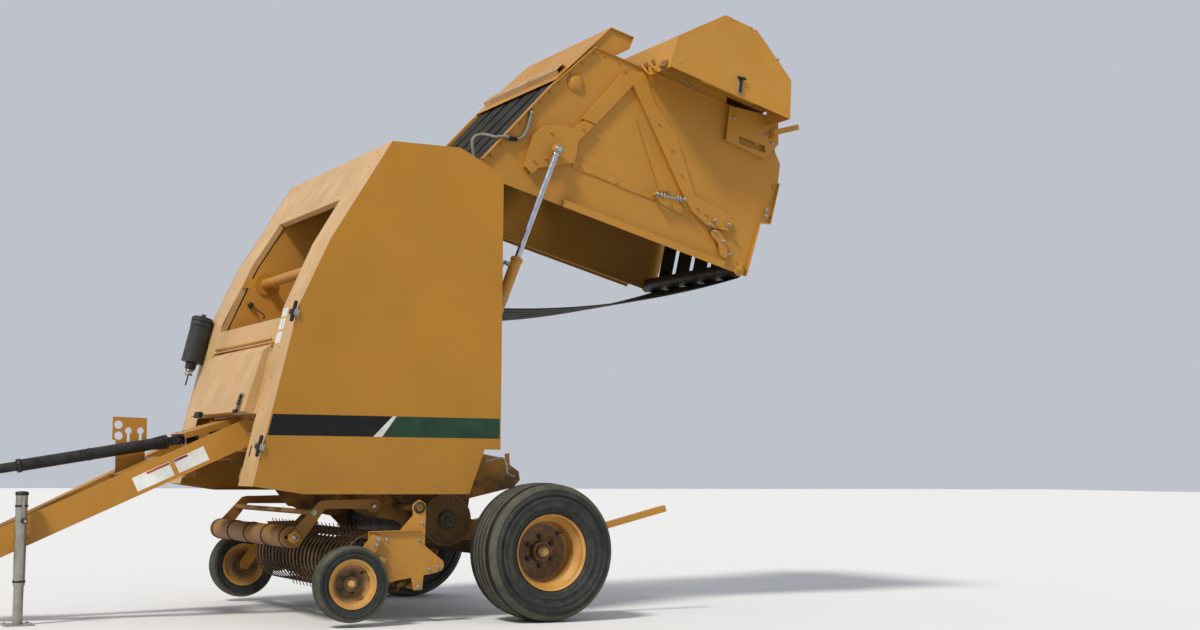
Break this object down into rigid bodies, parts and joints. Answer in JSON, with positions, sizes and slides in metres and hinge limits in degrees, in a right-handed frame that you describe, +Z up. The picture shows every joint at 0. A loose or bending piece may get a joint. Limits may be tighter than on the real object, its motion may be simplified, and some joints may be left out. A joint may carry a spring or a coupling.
{
  "type": "round baler",
  "caption": "Towed variable-chamber round baler with tined pickup, belt tailgate raised on two lift cylinders, tongue with parking jack and telescoping driveline",
  "frame": {"origin": "bottom centre of the bounding box with the tailgate raised: floor height, mid-length, mid-width", "axes": "+X points forward to the hitch, +Y to the machine's left, +Z up"},
  "size_m": [5.443, 2.497, 3.757],
  "materials": {
    "yellow_paint": "gloss machine paint, dusty",
    "worn_paint": "machine paint under brown crop dust",
    "roller_steel": "worn steel",
    "black_belt": "woven black rubber",
    "tyre": "black tyre rubber",
    "black_guard": "matt black plastic",
    "canister_grey": "matt dark grey plastic",
    "dark_steel": "dark painted casting",
    "chrome_rod": "polished chrome",
    "zinc_steel": "zinc plated steel"
  },
  "bodies": {
    "chassis": {"main_frame": "yellow_paint", "frame_beams": "yellow_paint", "axle": "worn_paint", "tongue": "yellow_paint", "tongue_plates": "yellow_paint", "hitch_clevis": "dark_steel", "gearbox": "dark_steel", "driveline_rest": "yellow_paint", "front_cover": "yellow_paint", "opening_tube": "yellow_paint", "hose_plate": "yellow_paint", "canister": "canister_grey", "chamber_rollers": "roller_steel", "roller_drive": "worn_paint", "belt_run": "black_belt", "guide_arms": "yellow_paint", "jack_leg": "zinc_steel"},
    "front_door": {"front_door": "yellow_paint"},
    "jack": {"jack_foot": "zinc_steel"},
    "driveline_outer": {"driveline_rear": "black_guard"},
    "driveline_inner": {"driveline_front": "black_guard"},
    "shield_left": {"front_shield_left": "yellow_paint"},
    "shield_right": {"front_shield_right": "yellow_paint"},
    "wheel_left": {"tyre_left": "tyre", "rim_left": "yellow_paint"},
    "wheel_right": {"tyre_right": "tyre", "rim_right": "yellow_paint"},
    "pickup": {"pickup_frame": "yellow_paint", "stripper_bands": "worn_paint"},
    "reel": {"pickup_reel": "roller_steel"},
    "gauge_wheel_left": {"gauge_tyre_left": "tyre", "gauge_rim_left": "yellow_paint"},
    "gauge_wheel_right": {"gauge_tyre_right": "tyre", "gauge_rim_right": "yellow_paint"},
    "press": {"press_arms": "worn_paint"},
    "press_drum": {"press_roller": "worn_paint"},
    "tailgate": {"tailgate_sides": "yellow_paint", "tailgate_braces": "yellow_paint", "tailgate_cross": "yellow_paint", "tailgate_hood": "yellow_paint", "net_box": "yellow_paint", "tailgate_rollers": "roller_steel", "tailgate_belts": "black_belt"},
    "rear_shield_left": {"rear_shield_left": "yellow_paint"},
    "rear_shield_right": {"rear_shield_right": "yellow_paint"},
    "lift_barrels": {"cylinder_barrels": "yellow_paint"},
    "lift_rods": {"cylinder_rods": "chrome_rod"}
  },
  "joints": [
    {"name": "tailgate_lift", "type": "hinge", "parent": "chassis", "child": "tailgate", "pos_m": [-0.42278, 0, 2.576], "axis": [0, 1, 0], "range_deg": [-75, 0], "deforming": ["belt_run"]},
    {"name": "cylinder_swing", "type": "hinge", "parent": "chassis", "child": "lift_barrels", "pos_m": [-0.35378, 0, 1.3], "axis": [0, 1, 0], "range_deg": [-9.01, 0.01]},
    {"name": "cylinder_stroke", "type": "slide", "parent": "lift_barrels", "child": "lift_rods", "axis": [-0.361, 0, 0.9326], "range_m": [-0.688, 0.0001]},
    {"name": "left_shield_open", "type": "hinge", "parent": "chassis", "child": "shield_left", "pos_m": [-0.45878, 0.92, 1.7], "axis": [0, 0, 1], "range_deg": [0, 80]},
    {"name": "right_shield_open", "type": "hinge", "parent": "chassis", "child": "shield_right", "pos_m": [-0.45878, -0.92, 1.7], "axis": [0, 0, -1], "range_deg": [0, 80]},
    {"name": "front_door_open", "type": "hinge", "parent": "chassis", "child": "front_door", "pos_m": [0.81045, 0, 1.555], "axis": [0, -1, 0], "range_deg": [0, 100]},
    {"name": "left_wheel_spin", "type": "hinge", "parent": "chassis", "child": "wheel_left", "pos_m": [-0.67278, 1.077, 0.394], "axis": [0, 1, 0], "continuous": true},
    {"name": "right_wheel_spin", "type": "hinge", "parent": "chassis", "child": "wheel_right", "pos_m": [-0.67278, -1.077, 0.394], "axis": [0, 1, 0], "continuous": true},
    {"name": "pickup_lift", "type": "hinge", "parent": "chassis", "child": "pickup", "pos_m": [0.03122, 0, 0.645], "axis": [0, -1, 0], "range_deg": [0, 10]},
    {"name": "reel_spin", "type": "hinge", "parent": "pickup", "child": "reel", "pos_m": [0.26722, 0, 0.33], "axis": [0, 1, 0], "continuous": true},
    {"name": "left_gauge_spin", "type": "hinge", "parent": "pickup", "child": "gauge_wheel_left", "pos_m": [0.46722, 1.052, 0.235], "axis": [0, 1, 0], "continuous": true},
    {"name": "right_gauge_spin", "type": "hinge", "parent": "pickup", "child": "gauge_wheel_right", "pos_m": [0.46722, -1.052, 0.235], "axis": [0, 1, 0], "continuous": true},
    {"name": "press_lift", "type": "hinge", "parent": "chassis", "child": "press", "pos_m": [0.23922, 0, 0.65], "axis": [0, -1, 0], "range_deg": [0, 18]},
    {"name": "press_spin", "type": "hinge", "parent": "press", "child": "press_drum", "pos_m": [0.70522, 0, 0.48], "axis": [0, 1, 0], "continuous": true},
    {"name": "jack_travel", "type": "slide", "parent": "chassis", "child": "jack", "axis": [0, 0, 1], "range_m": [0, 0.2]},
    {"name": "driveline_swing", "type": "hinge", "parent": "chassis", "child": "driveline_outer", "pos_m": [1.17722, 0, 1.02], "axis": [0, -1, 0], "range_deg": [0, 15]},
    {"name": "driveline_slide", "type": "slide", "parent": "driveline_outer", "child": "driveline_inner", "axis": [0.9848, 0, -0.1736], "range_m": [-0.15, 0.15]},
    {"name": "left_rear_shield_open", "type": "hinge", "parent": "tailgate", "child": "rear_shield_left", "pos_m": [-2.12305, 0.928, 3.72095], "axis": [0.9659, 0, 0.2588], "range_deg": [0, 100]},
    {"name": "right_rear_shield_open", "type": "hinge", "parent": "tailgate", "child": "rear_shield_right", "pos_m": [-2.12305, -0.928, 3.72095], "axis": [-0.9659, 0, -0.2588], "range_deg": [0, 100]}
  ],
  "couplings": [
    {"joint": "cylinder_swing", "follows": "tailgate_lift", "ratio": 0.12},
    {"joint": "cylinder_stroke", "follows": "tailgate_lift", "m_per_rad": 0.52521}
  ]
}
